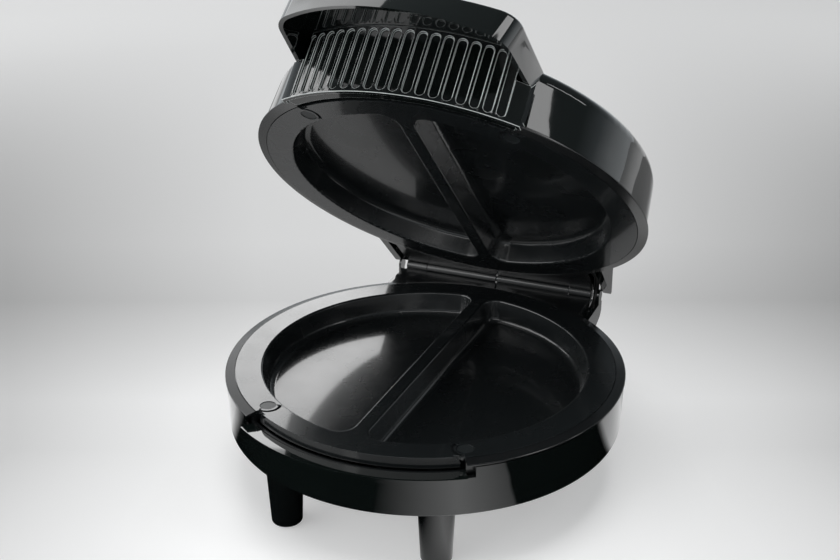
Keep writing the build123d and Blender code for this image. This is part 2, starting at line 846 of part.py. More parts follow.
# -------------------------------------------------------------- heating parts
def heating_element(frame):
    """Tubular element bent into a loop, with both tails at the rear."""
    tail = element_tail_x
    half_x = element_half_x
    half_y = element_half_y
    level = frame.offset(-element_z)
    with BuildPart() as element:
        with BuildLine(level) as loop:
            FilletPolyline(
                (-tail, element_tail_y),
                (-tail, half_y),
                (-half_x, half_y),
                (-half_x, -half_y),
                (half_x, -half_y),
                (half_x, half_y),
                (tail, half_y),
                (tail, element_tail_y),
                radius=[element_tail_r] + [element_corner_r] * 4 + [element_tail_r],
            )
        start = Plane(at(frame, -tail, element_tail_y, -element_z), z_dir=-frame.y_dir)
        with BuildSketch(start):
            Circle(element_r)
        sweep(path=loop.line)
        for side in (-1, 1):
            end = at(frame, side * tail, element_tail_y, -element_z)
            with BuildSketch(Plane(end, z_dir=frame.y_dir)):
                Circle(cold_pin_r)
            extrude(amount=cold_pin_length)
    return element


def element_bushes(frame):
    """Ceramic bushes on the two cold pins of the element."""
    with BuildPart() as bushes:
        for side in (-1, 1):
            end = at(frame, side * element_tail_x, element_tail_y + bush_gap, -element_z)
            with BuildSketch(Plane(end, z_dir=frame.y_dir)):
                Circle(bush_r)
                Circle(cold_pin_r + bush_gap, mode=Mode.SUBTRACT)
            extrude(amount=bush_length)
    return bushes


def element_straps(frame):
    """Folded straps that hold the element against the plate."""
    inner_r = element_r + strap_clear
    outer_r = inner_r + strap_t
    top = element_r + element_gap
    with BuildPart() as straps:
        for x, y, turn in strap_places():
            across = frame.x_dir * cos(radians(turn)) + frame.y_dir * sin(radians(turn))
            middle = at(frame, x, y, -element_z)
            profile = Plane(middle, x_dir=across, z_dir=across.cross(frame.z_dir))
            with BuildSketch(profile):
                Circle(outer_r)
                with Locations((0, top / 2)):
                    Rectangle(2 * outer_r, top)
                with Locations((0, outer_r)):
                    Rectangle(2 * outer_r, 2 * (outer_r - top), mode=Mode.SUBTRACT)
                with Locations((0, top - strap_t / 2)):
                    Rectangle(2 * (outer_r + strap_foot), strap_t)
                Circle(inner_r, mode=Mode.SUBTRACT)
                with Locations((0, top / 2)):
                    Rectangle(2 * inner_r, top, mode=Mode.SUBTRACT)
            extrude(amount=strap_width / 2, both=True)
        with BuildSketch(frame.offset(-plate_back)):
            with Locations(*strap_screw_places()):
                Circle(strap_screw_r + thread_gap)
        extrude(amount=-2 * strap_t, mode=Mode.SUBTRACT)
    return straps


def pan_screws(level, places, radius, engage, head_r, head_t):
    """Pan-head screws whose heads rest on a level and whose shanks point up."""
    with BuildPart() as screws:
        with BuildSketch(level):
            with Locations(*places):
                Circle(head_r)
        extrude(amount=-head_t)
        heads = screws.faces().sort_by(Axis(level.origin, level.z_dir))[: len(places)]
        fillet(heads.edges(), head_t / 3)
        with BuildSketch(level):
            with Locations(*places):
                Circle(radius)
        extrude(amount=engage)
    return screws


def reflector(frame):
    """Shallow sheet dish that turns the heat back towards the plate."""
    rise = reflector_z - reflector_rim
    with BuildPart() as dish:
        with BuildSketch(radial_section(frame)):
            with BuildLine():
                Polyline(
                    (0, -reflector_z),
                    (reflector_flat_r, -reflector_z),
                    (reflector_r - reflector_t, -rise),
                    (reflector_r, -rise),
                    (reflector_flat_r + reflector_t / 2, -reflector_back),
                    (0, -reflector_back),
                    close=True,
                )
            make_face()
        revolve(axis=drum_axis(frame))
        with BuildSketch(frame.offset(-reflector_z)):
            with Locations((0, reflector_slot_y)):
                Rectangle(2 * reflector_slot_x, reflector_r, align=(Align.CENTER, Align.MIN))
        extrude(amount=reflector_rim, mode=Mode.SUBTRACT)
        with BuildSketch(frame.offset(-reflector_back)):
            with Locations(*post_places):
                Circle(screw_clear_r)
        extrude(amount=reflector_t, mode=Mode.SUBTRACT)
    return dish


# ------------------------------------------------------------ feet and screws
with BuildPart() as foot_shape:
    with BuildSketch(Plane.XZ):
        with BuildLine():
            Polyline(
                (foot_bore_r, pad_stand),
                (foot_bottom_r, pad_stand),
                (foot_top_r, foot_height),
                (screw_clear_r, foot_height),
                (screw_clear_r, foot_height - foot_web),
                (foot_bore_r, foot_height - foot_web),
                close=True,
            )
        make_face()
    revolve(axis=Axis.Z)
    with BuildSketch(Plane.XY):
        Circle(pad_r + pad_clear)
    extrude(amount=pad_t, mode=Mode.SUBTRACT)
    ground_edge = foot_shape.edges().group_by(Axis.Z)[0].sort_by(SortBy.RADIUS)[-1]
    fillet(ground_edge, foot_edge_r)


def foot(x, y):
    """One tapered foot, moved to its corner of the base."""
    with BuildPart() as placed:
        with Locations((x, drum_y + y, 0)):
            add(foot_shape.part)
    return placed


with BuildPart() as foot_pads:
    with BuildSketch(Plane.XY):
        with Locations(*[(x, drum_y + y) for x, y in foot_places]):
            Circle(pad_r)
    extrude(amount=pad_t)
    fillet(foot_pads.faces().sort_by(Axis.Z)[:4].edges(), foot_edge_r / 2)

# ----------------------------------------------------------- electrical parts
with BuildPart() as thermostat:
    cap_top = base_frame.offset(-plate_back - element_gap)
    with BuildSketch(cap_top):
        with Locations((thermostat_x, 0)):
            Circle(thermostat_cap_r)
    extrude(amount=-thermostat_cap_t)
    with BuildSketch(cap_top.offset(-thermostat_cap_t)):
        with Locations((thermostat_x, 0)):
            Circle(thermostat_r)
    extrude(amount=-thermostat_t)
    with BuildSketch(cap_top.offset(-thermostat_cap_t - thermostat_t / 2)):
        with Locations((thermostat_x, 0)):
            Rectangle(2 * (thermostat_r + tab_length), tab_width)
    extrude(amount=-tab_t)

with BuildPart() as thermal_fuse:
    fuse_level = -plate_back - element_gap - fuse_r
    fuse_end = at(base_frame, -fuse_x, -fuse_length / 2, fuse_level)
    with BuildSketch(Plane(fuse_end, z_dir=base_frame.y_dir)):
        Circle(fuse_r)
    extrude(amount=fuse_length)
    wire_end = at(base_frame, -fuse_x, -fuse_length / 2 - fuse_wire, fuse_level)
    with BuildSketch(Plane(wire_end, z_dir=base_frame.y_dir)):
        Circle(fuse_wire_r)
    extrude(amount=fuse_length + 2 * fuse_wire)

terminal_places = [(block_x + offset, block_y) for offset in (-block_pitch / 2, block_pitch / 2)]
with BuildPart() as terminal_block:
    with BuildSketch(base_frame.offset(-base_floor)):
        with Locations((block_x, block_y)):
            Rectangle(block_length, block_width)
    extrude(amount=block_height)
    fillet(terminal_block.edges().filter_by(Axis.Z), foot_edge_r / 2)
    with BuildSketch(base_frame.offset(-base_floor + block_height)):
        with Locations(*terminal_places):
            Circle(terminal_bore_r)
    extrude(amount=-block_height / 2, mode=Mode.SUBTRACT)

with BuildPart() as terminal_screws:
    with BuildSketch(base_frame.offset(-base_floor + block_height / 2 + thread_gap)):
        with Locations(*terminal_places):
            Circle(terminal_screw_r)
    extrude(amount=terminal_screw_t)

with BuildPart() as cord_gland:
    wall_y = base_wall_r + joint_gap
    outer_end = at(base_frame, 0, wall_y + gland_flange_t, -gland_z)
    gland_plane = Plane(outer_end, z_dir=-base_frame.y_dir)
    with BuildSketch(gland_plane):
        Circle(gland_flange_r)
    extrude(amount=gland_flange_t)
    with BuildSketch(gland_plane):
        Circle(gland_body_r)
    extrude(amount=gland_length)
    with BuildSketch(gland_plane):
        Circle(gland_bore_r)
    extrude(amount=gland_length, mode=Mode.SUBTRACT)

lens_places = [(-lamp_x, -lamp_y), (lamp_x, -lamp_y)]
with BuildPart() as indicator_lenses:
    with BuildSketch(lid_frame.offset(-lid_depth)):
        with Locations(*lens_places):
            Circle(lens_r)
    extrude(amount=lens_length)
    with BuildSketch(lid_frame.offset(-lid_ceiling + lens_gap)):
        with Locations(*lens_places):
            Circle(lens_flange_r)
    extrude(amount=lens_flange_t)

with BuildPart() as neon_lamps:
    for x, y in lens_places:
        lamp_end = at(lid_frame, x, y - lamp_length / 2, -lamp_z + lens_gap)
        with BuildSketch(Plane(lamp_end, z_dir=lid_frame.y_dir)):
            Circle(lamp_r)
        extrude(amount=lamp_length)

with BuildPart() as lamp_holder:
    with BuildSketch(lid_frame.offset(-holder_z)):
        with Locations((0, -lamp_y)):
            Rectangle(holder_length, holder_width)
    extrude(amount=holder_t)
    with BuildSketch(lid_frame.offset(-holder_z)):
        with Locations((0, -lamp_y)):
            Circle(holder_post_r)
    extrude(amount=-(lid_ceiling - touch_gap - holder_z))

with BuildPart() as hinge_pin:
    pin_start = at(base_frame, -outer_knuckle_end, hinge_y, hinge_z)
    with BuildSketch(Plane(pin_start, z_dir=base_frame.x_dir)):
        Circle(pin_r)
    extrude(amount=2 * outer_knuckle_end)


# ----------------------------------------------------------- interconnect lead
def lead_corner(first, corner, last):
    """Bend radius at one corner of the lead, from its shorter run."""
    before = corner - first
    after = last - corner
    turn = radians(before.get_angle(after))
    return lead_bend * min(before.length, after.length) / tan(turn / 2)


half_route = [
    (lead_start_x, lead_start_y, -lead_start_z),
    (lead_x, lead_inner_y, -lead_inner_z),
    (lead_x, hinge_y + lead_exit_y, -block_top),
]
lead_points = [at(base_frame, x, y, z) for x, y, z in half_route]
lead_points += [at(lid_frame, -x, y, z) for x, y, z in reversed(half_route)]
corner_count = len(lead_points) - 2
lead_radii = [lead_corner(*lead_points[index : index + 3]) for index in range(corner_count)]
with BuildPart() as interconnect_lead:
    with BuildLine() as lead_route:
        FilletPolyline(*lead_points, radius=lead_radii)
    with BuildSketch(Plane(lead_points[0], z_dir=lead_points[1] - lead_points[0])):
        Circle(lead_r)
    sweep(path=lead_route.line)


# ------------------------------------------------------------ write the pieces
strap_head_level = -plate_back - strap_t
lid_screw_depth = shelf_top + screw_head_t + head_gap
for half, frame in (("base", base_frame), ("lid", lid_frame)):
    strap_level = frame.offset(strap_head_level)
    strap_engage = strap_t + strap_screw_engage
    save(cooking_plate(frame), half + "_cooking_plate")
    save(plate_buttons(frame), half + "_plate_buttons")
    save(heating_element(frame), half + "_heating_element")
    save(element_bushes(frame), half + "_element_bushes")
    save(element_straps(frame), half + "_element_straps")
    save(
        pan_screws(
            strap_level,
            strap_screw_places(),
            strap_screw_r,
            strap_engage,
            strap_screw_head_r,
            strap_screw_head_t,
        ),
        half + "_strap_screws",
    )
    save(reflector(frame), half + "_reflector")
    turned = Plane(frame.offset(-reflector_z).origin, x_dir=frame.x_dir, z_dir=-frame.z_dir)
    turned_places = [(x, -y) for x, y in post_places]
    shank = reflector_t + reflector_screw_engage
    reflector_screws = pan_screws(turned, turned_places, screw_r, shank, screw_head_r, screw_head_t)
    save(reflector_screws, half + "_reflector_screws")

base_screw_shank = foot_web + casing_wall + screw_engage
base_screw_level = base_frame.offset(-base_depth - foot_web)
lid_screw_shank = lid_boss_bottom - lid_screw_depth + screw_engage
save(
    pan_screws(base_screw_level, foot_places, screw_r, base_screw_shank, screw_head_r, screw_head_t),
    "base_screws",
)
lid_screw_origin = lid_frame.offset(-lid_screw_depth).origin
lid_screw_level = Plane(lid_screw_origin, x_dir=lid_frame.x_dir, z_dir=-lid_frame.z_dir)
save(
    pan_screws(lid_screw_level, foot_places, screw_r, lid_screw_shank, screw_head_r, screw_head_t),
    "lid_screws",
)
save(inner_frame(base_frame, base_floor, False), "base_frame")
save(inner_frame(lid_frame, lid_boss_bottom, True), "lid_frame")
save(base_casing, "base_casing")
save(lid_casing, "lid_casing")
save(grip_panel, "grip_panel")
save(foot(-foot_x, -foot_y), "foot_front_left")
save(foot(foot_x, -foot_y), "foot_front_right")
save(foot(-foot_x, foot_y), "foot_rear_left")
save(foot(foot_x, foot_y), "foot_rear_right")
save(foot_pads, "foot_pads")
save(thermostat, "thermostat")
save(thermal_fuse, "thermal_fuse")
save(terminal_block, "terminal_block")
save(terminal_screws, "terminal_screws")
save(cord_gland, "cord_gland")
save(indicator_lenses, "indicator_lenses")
save(neon_lamps, "neon_lamps")
save(lamp_holder, "lamp_holder")
save(hinge_pin, "hinge_pin")
save(interconnect_lead, "interconnect_lead")
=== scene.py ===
# %% [markdown]
# # Electric omelette maker
# A round cooker made of two glossy black housings hinged at the rear, shown
# with its lid half open. The exact solids come from the engineering model. This
# lesson gives them softened edges and finishes, rebuilds the one flexible lead,
# and sets up a studio and a camera.

import json
import math

import bmesh
import bpy
from mathutils import Matrix, Vector


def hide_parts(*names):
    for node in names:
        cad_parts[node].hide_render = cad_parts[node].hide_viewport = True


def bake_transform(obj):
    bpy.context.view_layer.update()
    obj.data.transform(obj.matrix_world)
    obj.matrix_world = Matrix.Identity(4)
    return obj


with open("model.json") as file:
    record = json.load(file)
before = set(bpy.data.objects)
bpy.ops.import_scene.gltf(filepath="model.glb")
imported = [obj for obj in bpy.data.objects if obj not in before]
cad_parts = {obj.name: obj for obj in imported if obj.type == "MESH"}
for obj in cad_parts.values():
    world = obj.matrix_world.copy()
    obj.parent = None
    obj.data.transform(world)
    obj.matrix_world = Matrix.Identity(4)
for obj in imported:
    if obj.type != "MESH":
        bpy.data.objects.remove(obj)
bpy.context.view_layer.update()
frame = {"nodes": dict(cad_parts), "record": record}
nodes = frame["nodes"]
scene = bpy.context.scene

# %% [markdown]
# ## Helpers for materials
# A colour is given as an sRGB hex value, but the renderer works in
# linear light, so one function turns the one into the other. A second fills a
# node's inputs, with a value or with a link, a third adds any kind of node, and
# a fourth starts a material with the values that stay the same all over it.
# With these, every finish below reads as a short recipe.

# %% Material helpers
MM = 0.001
finishes = {}


def linear(hex_colour):
    """Turn an sRGB hex colour into the linear values that a shader wants."""
    channels = [int(hex_colour[i : i + 2], 16) / 255 for i in (1, 3, 5)]
    light = [
        channel / 12.92 if channel <= 0.04045 else ((channel + 0.055) / 1.055) ** 2.4
        for channel in channels
    ]
    return light + [1.0]


def fill(material, node, inputs):
    """Give each named input of a node its value, or link it to an output."""
    for key, value in inputs.items():
        if isinstance(value, bpy.types.NodeSocket):
            material.node_tree.links.new(value, node.inputs[key])
        else:
            node.inputs[key].default_value = value


def add_node(material, kind, inputs, **settings):
    """Add one shader node, set its options, and fill its inputs."""
    node = material.node_tree.nodes.new(kind)
    for key, value in settings.items():
        setattr(node, key, value)
    fill(material, node, inputs)
    return node


def start_finish(name, colour, roughness, ior):
    """Start a material from a plain surface shader with uniform values."""
    material = bpy.data.materials.new(name)
    material.use_nodes = True
    surface = material.node_tree.nodes["Principled BSDF"]
    fill(material, surface, {"Base Color": linear(colour), "Roughness": roughness, "IOR": ior})
    place = add_node(material, "ShaderNodeTexCoord", {}).outputs["Object"]
    return material, surface, place


print("helpers ready")

# %% [markdown]
# ## Polished black mouldings
# Housings, grip and feet are injection-moulded in black phenolic from a
# mirror-polished tool. The eye gets deep black with sharp reflections. Two
# things keep it from looking computed: the plastic shrinks a few microns over
# its ribs, so long reflections waver every 24 mm or so, and handling leaves a
# faint haze in patches of about 9 mm. The clear coat stands for the resin-rich
# skin that the polished tool leaves on the outside.

# %% Polished phenolic
WAVE_MM = 24.0
HANDLING_MM = 9.0


def polished_phenolic(name, colour, clear, hazed, wave_depth_mm):
    """Glossy moulded plastic with handling haze and moulding waves."""
    material, surface, place = start_finish(name, colour, clear, 1.52)
    marks = add_node(
        material,
        "ShaderNodeTexNoise",
        {"Vector": place, "Scale": 1 / (HANDLING_MM * MM), "Detail": 6.0},
    )
    haze = add_node(
        material,
        "ShaderNodeMapRange",
        {
            "Value": marks.outputs["Fac"],
            "From Min": 0.35,
            "From Max": 0.75,
            "To Min": clear,
            "To Max": hazed,
        },
    )
    waves = add_node(
        material,
        "ShaderNodeTexNoise",
        {"Vector": place, "Scale": 1 / (WAVE_MM * MM), "Detail": 0.0},
    )
    waver = add_node(
        material, "ShaderNodeBump", {"Height": waves.outputs["Fac"], "Distance": wave_depth_mm * MM}
    )
    fill(
        material,
        surface,
        {
            "Roughness": haze.outputs["Result"],
            "Normal": waver.outputs["Normal"],
            "Coat Weight": 1.0,
            "Coat Roughness": 0.03,
            "Coat IOR": 1.52,
        },
    )
    return material


# Slot, material name, colour, roughness where clear and hazed, wave depth in mm
POLISHED = [
    ("gloss_black", "polished_black_phenolic", "#0e1312", 0.04, 0.07, 0.0012),
    ("grip_black", "polished_black_grip", "#101413", 0.06, 0.1, 0.0012),
    ("foot_black", "polished_black_foot", "#0e1111", 0.06, 0.1, 0.001),
]
for slot, *recipe in POLISHED:
    finishes[slot] = polished_phenolic(*recipe)
print("phenolic wave:", WAVE_MM, "mm")

# %% [markdown]
# ## Glass-filled frames
# The inner frames sit against hot plates, so their plastic is filled with glass
# fibre. Fibres a few hundredths of a millimetre thick print through as a satin
# skin. They are too fine to show, so the grain is drawn 0.6 mm across.

# %% Glass-filled plastic
FIBRE_MM = 0.6
FIBRE_DEPTH_MM = 0.006

glass_filled, surface, place = start_finish("glass_filled_satin_black", "#131516", 0.24, 1.54)
fibres = add_node(
    glass_filled,
    "ShaderNodeTexNoise",
    {"Vector": place, "Scale": 1 / (FIBRE_MM * MM), "Detail": 3.0},
).outputs["Fac"]
skin = add_node(
    glass_filled,
    "ShaderNodeMix",
    {"Factor": fibres, "A": linear("#0f1112"), "B": linear("#181a1b")},
    data_type="RGBA",
)
print_through = add_node(
    glass_filled, "ShaderNodeBump", {"Height": fibres, "Distance": FIBRE_DEPTH_MM * MM}
)
fill(
    glass_filled,
    surface,
    {
        "Base Color": skin.outputs["Result"],
        "Normal": print_through.outputs["Normal"],
        "Coat Weight": 0.5,
        "Coat Roughness": 0.12,
    },
)
finishes["satin_black"] = glass_filled
print("fibre grain:", FIBRE_MM, "mm")

# %% [markdown]
# ## Non-stick coating
# The plates are die-cast aluminium, sprayed with two coats of PTFE and baked.
# The film is dark grey and glossier than it feels, because its top coat is
# clear resin: that is the coat layer here. Spraying leaves an orange-peel about
# 1.1 mm across, and pale mineral flecks of 0.5 mm keep the colour from being
# flat. Slow clouds of 22 mm change the sheen where oil has been wiped off.

# %% PTFE on cast aluminium
PEEL_MM = 1.1
PEEL_DEPTH_MM = 0.004
FLECK_MM = 0.5
CLOUD_MM = 22.0

ptfe, surface, place = start_finish("ptfe_on_cast_aluminium", "#1b1e1f", 0.28, 1.45)
peel, flecks, cloud = (
    add_node(
        ptfe, "ShaderNodeTexNoise", {"Vector": place, "Scale": 1 / (size * MM), "Detail": detail}
    ).outputs["Fac"]
    for size, detail in ((PEEL_MM, 1.0), (FLECK_MM, 0.0), (CLOUD_MM, 4.0))
)
fleck_mask = add_node(
    ptfe, "ShaderNodeMapRange", {"Value": flecks, "From Min": 0.62, "From Max": 0.8}
)
film = add_node(
    ptfe,
    "ShaderNodeMix",
    {"Factor": fleck_mask.outputs["Result"], "A": linear("#181b1c"), "B": linear("#2a2d2f")},
    data_type="RGBA",
)
wiped = add_node(
    ptfe,
    "ShaderNodeMapRange",
    {"Value": cloud, "From Min": 0.3, "From Max": 0.7, "To Min": 0.22, "To Max": 0.3},
)
orange_peel = add_node(ptfe, "ShaderNodeBump", {"Height": peel, "Distance": PEEL_DEPTH_MM * MM})
fill(
    ptfe,
    surface,
    {
        "Base Color": film.outputs["Result"],
        "Roughness": wiped.outputs["Result"],
        "Normal": orange_peel.outputs["Normal"],
        "Coat Weight": 0.9,
        "Coat Roughness": 0.08,
    },
)
finishes["nonstick"] = ptfe
print("orange peel:", PEEL_MM, "mm, flecks:", FLECK_MM, "mm")

# %% [markdown]
# ## Small moulded parts
# Release buttons, terminal block, fuse sleeve and rubber pads come from tools
# with a spark-eroded texture, a matt pebble of about half a millimetre. One
# function covers them, with its two colours, its gloss and its pebble size.

# %% Spark-textured mouldings
def spark_textured(name, dark, light, roughness, pebble_mm, depth_mm):
    """Small moulding with a pebbled skin and a slight change of colour."""
    material, surface, place = start_finish(name, light, roughness, 1.5)
    pebble = add_node(
        material,
        "ShaderNodeTexNoise",
        {"Vector": place, "Scale": 1 / (pebble_mm * MM), "Detail": 2.0},
    ).outputs["Fac"]
    blend = add_node(
        material,
        "ShaderNodeMix",
        {"Factor": pebble, "A": linear(dark), "B": linear(light)},
        data_type="RGBA",
    )
    skin = add_node(material, "ShaderNodeBump", {"Height": pebble, "Distance": depth_mm * MM})
    fill(
        material,
        surface,
        {"Base Color": blend.outputs["Result"], "Normal": skin.outputs["Normal"]},
    )
    return material


# Slot, material name, two colours, roughness, pebble size and depth in mm
TEXTURED = [
    ("button_grey", "textured_button_nylon", "#1c1f20", "#2a2e2f", 0.3, 0.5, 0.015),
    ("block_white", "natural_nylon", "#c9c3b4", "#dcd7c9", 0.45, 0.5, 0.015),
    ("fuse_white", "lacquered_glass_sleeve", "#c8c7c0", "#dbdad2", 0.35, 0.5, 0.015),
    ("rubber_black", "silicone_rubber", "#0b0b0b", "#141414", 0.42, 0.9, 0.02),
]
for slot, *recipe in TEXTURED:
    finishes[slot] = spark_textured(*recipe)
print("textured mouldings:", len(TEXTURED))

# %% [markdown]
# ## Metals
# The element sheath is drawn steel that heat has dulled. Reflector and straps
# are pressed from bright sheet, whose rolling lines run one way, so their noise
# is stretched along x. Screws and hinge pin are zinc plated. A metal has no
# colour of its own under the gloss: the base colour tints its reflections.

# %% Metals
LINE_DEPTH_MM = 0.006


def worked_metal(name, dark, light, bright, dull, line_mm, stretch):
    """Metal with drawing, rolling or turning marks line_mm apart."""
    material, surface, place = start_finish(name, light, bright, 1.5)
    laid = add_node(material, "ShaderNodeMapping", {"Vector": place, "Scale": stretch})
    lines = add_node(
        material,
        "ShaderNodeTexNoise",
        {"Vector": laid.outputs["Vector"], "Scale": 1 / (line_mm * MM), "Detail": 3.0},
    ).outputs["Fac"]
    tone = add_node(
        material,
        "ShaderNodeMix",
        {"Factor": lines, "A": linear(dark), "B": linear(light)},
        data_type="RGBA",
    )
    gloss = add_node(
        material,
        "ShaderNodeMapRange",
        {"Value": lines, "From Min": 0.3, "From Max": 0.7, "To Min": bright, "To Max": dull},
    )
    marks = add_node(
        material, "ShaderNodeBump", {"Height": lines, "Distance": LINE_DEPTH_MM * MM}
    )
    fill(
        material,
        surface,
        {
            "Metallic": 1.0,
            "Base Color": tone.outputs["Result"],
            "Roughness": gloss.outputs["Result"],
            "Normal": marks.outputs["Normal"],
        },
    )
    return material


EVEN = (1, 1, 1)
ALONG_X = (0.1, 1, 1)
# Slot, material name, two colours, bright and dull roughness, line width in mm,
# and how the lines are stretched
METALS = [
    ("element_steel", "heat_dulled_steel", "#4a423c", "#7c736b", 0.35, 0.5, 2.0, EVEN),
    ("sheet_steel", "rolled_bright_steel", "#a9abad", "#d4d6d8", 0.18, 0.3, 0.8, ALONG_X),
    ("screw_steel", "zinc_plated_steel", "#8f9294", "#b9bcbe", 0.22, 0.34, 0.6, EVEN),
    ("brass", "turned_brass", "#a8823f", "#d0a85a", 0.2, 0.3, 0.4, EVEN),
]
for slot, *recipe in METALS:
    finishes[slot] = worked_metal(*recipe)
print("metals:", len(METALS))

# %% [markdown]
# ## Ceramic, lens and lamp
# Steatite bushes are fired with a thin glaze that crazes every 1.5 mm. The
# indicator lenses are clear red acrylic with a fine moulded ripple that hides
# the lamp, and the neon lamps behind them are drawn soda glass.

# %% Glaze, acrylic and glass
RIPPLE_DEPTH_MM = 0.01


def rippled(name, colour, roughness, ior, clear, ripple_mm):
    """Glaze, acrylic or glass with a gentle ripple in its surface."""
    material, surface, place = start_finish(name, colour, roughness, ior)
    ripple = add_node(
        material,
        "ShaderNodeTexNoise",
        {"Vector": place, "Scale": 1 / (ripple_mm * MM), "Detail": 1.0},
    ).outputs["Fac"]
    uneven = add_node(
        material, "ShaderNodeBump", {"Height": ripple, "Distance": RIPPLE_DEPTH_MM * MM}
    )
    fill(material, surface, {"Transmission Weight": clear, "Normal": uneven.outputs["Normal"]})
    return material


# Slot, material name, colour, roughness, refraction index, clearness, ripple in mm
GLASSY = [
    ("ceramic_white", "glazed_steatite", "#e4dfd0", 0.25, 1.6, 0.0, 1.5),
    ("lens_red", "red_acrylic_lens", "#c01812", 0.08, 1.49, 0.7, 0.7),
    ("lamp_glass", "soda_glass_lamp", "#f2d9c4", 0.05, 1.52, 0.9, 2.0),
]
for slot, *recipe in GLASSY:
    finishes[slot] = rippled(*recipe)
print("finishes:", len(finishes))

# %% [markdown]
# ## Painted edge highlights
# The fine pale lines along sharp edges are painted highlights. The Bevel
# modifier below can give its narrow faces a material of their own. That
# material is a pale colour that stands in for the glint of the edge: near white
# for the ribs of the grip, a softer grey for the housings, and a pale
# metallic grey for the cooking plates.

# %% Painted edge highlights
def painted_highlight_edge(name, dark, light, roughness, metallic):
    """Painted highlight: a pale edge colour that changes a little along its length."""
    material, surface, place = start_finish(name, light, roughness, 1.5)
    highlight_noise = add_node(
        material,
        "ShaderNodeTexNoise",
        {"Vector": place, "Scale": 1 / (HANDLING_MM * MM), "Detail": 3.0},
    ).outputs["Fac"]
    tone = add_node(
        material,
        "ShaderNodeMix",
        {"Factor": highlight_noise, "A": linear(dark), "B": linear(light)},
        data_type="RGBA",
    )
    fill(material, surface, {"Base Color": tone.outputs["Result"], "Metallic": metallic})
    return material


# Painted highlights: near white on the grip's ribs, soft grey on the housings, pale metallic grey
# on the plates.
rib_highlight = painted_highlight_edge("painted_highlight_rib_edge", "#ccd2d0", "#f2f6f5", 0.3, 0.0)
housing_highlight = painted_highlight_edge("painted_highlight_housing_edge", "#1c2221", "#343b3a", 0.12, 0.0)
plate_edge_highlight = painted_highlight_edge("painted_highlight_plate_edge", "#888e90", "#c2c8ca", 0.25, 0.5)
edge_highlights = {
    "grip_panel": rib_highlight,
    "base_casing": housing_highlight,
    "lid_casing": housing_highlight,
    "base_cooking_plate": plate_edge_highlight,
    "lid_cooking_plate": plate_edge_highlight,
}
print("edge finishes:", len(edge_highlights))

# %% [markdown]
# ## Dress the engineering parts
# Each part arrives as loose triangles. A Weld modifier joins them, and smooth
# shading below a crease angle makes the round walls reflect in one sweep. Real
# mouldings have no knife edges, so a Bevel modifier rounds every crease by a
# fraction of a millimetre. On the housings, grip and cooking plates these rounds
# take a pale painted-highlight material, which draws the thin bright edge lines. A
# Weighted Normal modifier then lets large flat faces shade flat up to the edge.
# Small hidden parts get split creases instead, which cost no extra faces.

# %% Dress each part
SMOOTH_ANGLE = math.radians(28)
WELD_MM = 0.002
EDGE_ROUND_MM = {
    "base_casing": 0.45,
    "lid_casing": 0.45,
    "grip_panel": 0.28,
    "base_frame": 0.3,
    "lid_frame": 0.3,
    "base_cooking_plate": 0.4,
    "lid_cooking_plate": 0.4,
    "base_plate_buttons": 0.3,
    "lid_plate_buttons": 0.3,
    "cord_gland": 0.3,
}
# The arcs of the grip pockets are short chords, which would pinch the rounds
# to nothing. Their creases stand far enough apart for the full width.
FREE_EDGE_ROUNDS = ("grip_panel",)
slot_of = {entry["node"]: entry["material_slot"] for entry in frame["record"]["subparts"]}


def dress(name, part):
    """Weld, smooth, round and paint one engineering part."""
    part.data.materials.clear()
    part.data.materials.append(finishes[slot_of[name]])
    weld = part.modifiers.new("weld", "WELD")
    weld.merge_threshold = WELD_MM * MM
    part.data.polygons.foreach_set("use_smooth", [True] * len(part.data.polygons))
    if name in EDGE_ROUND_MM:
        rounding = part.modifiers.new("edge_round", "BEVEL")
        rounding.width = EDGE_ROUND_MM[name] * MM
        rounding.segments = 2
        rounding.limit_method = "ANGLE"
        rounding.angle_limit = SMOOTH_ANGLE
        rounding.use_clamp_overlap = name not in FREE_EDGE_ROUNDS
        # The rounds of these parts get a pale colour: a painted highlight along the edge.
        if name in edge_highlights:
            part.data.materials.append(edge_highlights[name])
            rounding.material = 1
        flatness = part.modifiers.new("flat_faces", "WEIGHTED_NORMAL")
        flatness.mode = "FACE_AREA"
        flatness.keep_sharp = False
    else:
        creases = part.modifiers.new("creases", "EDGE_SPLIT")
        creases.split_angle = SMOOTH_ANGLE


for part_name, part in nodes.items():
    dress(part_name, part)
print("dressed:", len(nodes), "rounded:", len(EDGE_ROUND_MM))

# %% [markdown]
# ## The lead across the hinge
# One flexible lead carries current from the base to the lid's element. It
# leaves a slot in each housing and goes round behind the hinge pin, so it has to
# bend as the lid moves. A rigid solid can't, so the lead is drawn again for the
# pose shown: a smooth curve through the same route, given a round section and
# made a mesh, whose middle turns gently between the base and the lid. The mesh
# is fixed and does not move with the lid.

# %% Interconnect lead
LEAD_RADIUS_MM = 1.8
LEAD_ROUTE_MM = [
    (40.0, 89.3, 52.0),
    (67.6, 104.3, 53.5),
    (67.6, 117.8, 61.2),
    (67.6, 121.5, 70.3),
    (67.6, 117.1, 85.2),
    (40.0, 107.3, 97.4),
]

route = bpy.data.curves.new("lead_route", "CURVE")
route.dimensions = "3D"
spline = route.splines.new("NURBS")
spline.points.add(len(LEAD_ROUTE_MM) - 1)
for point, (x, y, z) in zip(spline.points, LEAD_ROUTE_MM):
    point.co = (x * MM, y * MM, z * MM, 1.0)
spline.order_u = 3
spline.use_endpoint_u = True
spline.resolution_u = 16
route.bevel_depth = LEAD_RADIUS_MM * MM
route.bevel_resolution = 6
route.use_fill_caps = True
drawn_route = bpy.data.objects.new("lead_route", route)
scene.collection.objects.link(drawn_route)
lead_mesh = bpy.data.meshes.new_from_object(drawn_route)
bpy.data.objects.remove(drawn_route)

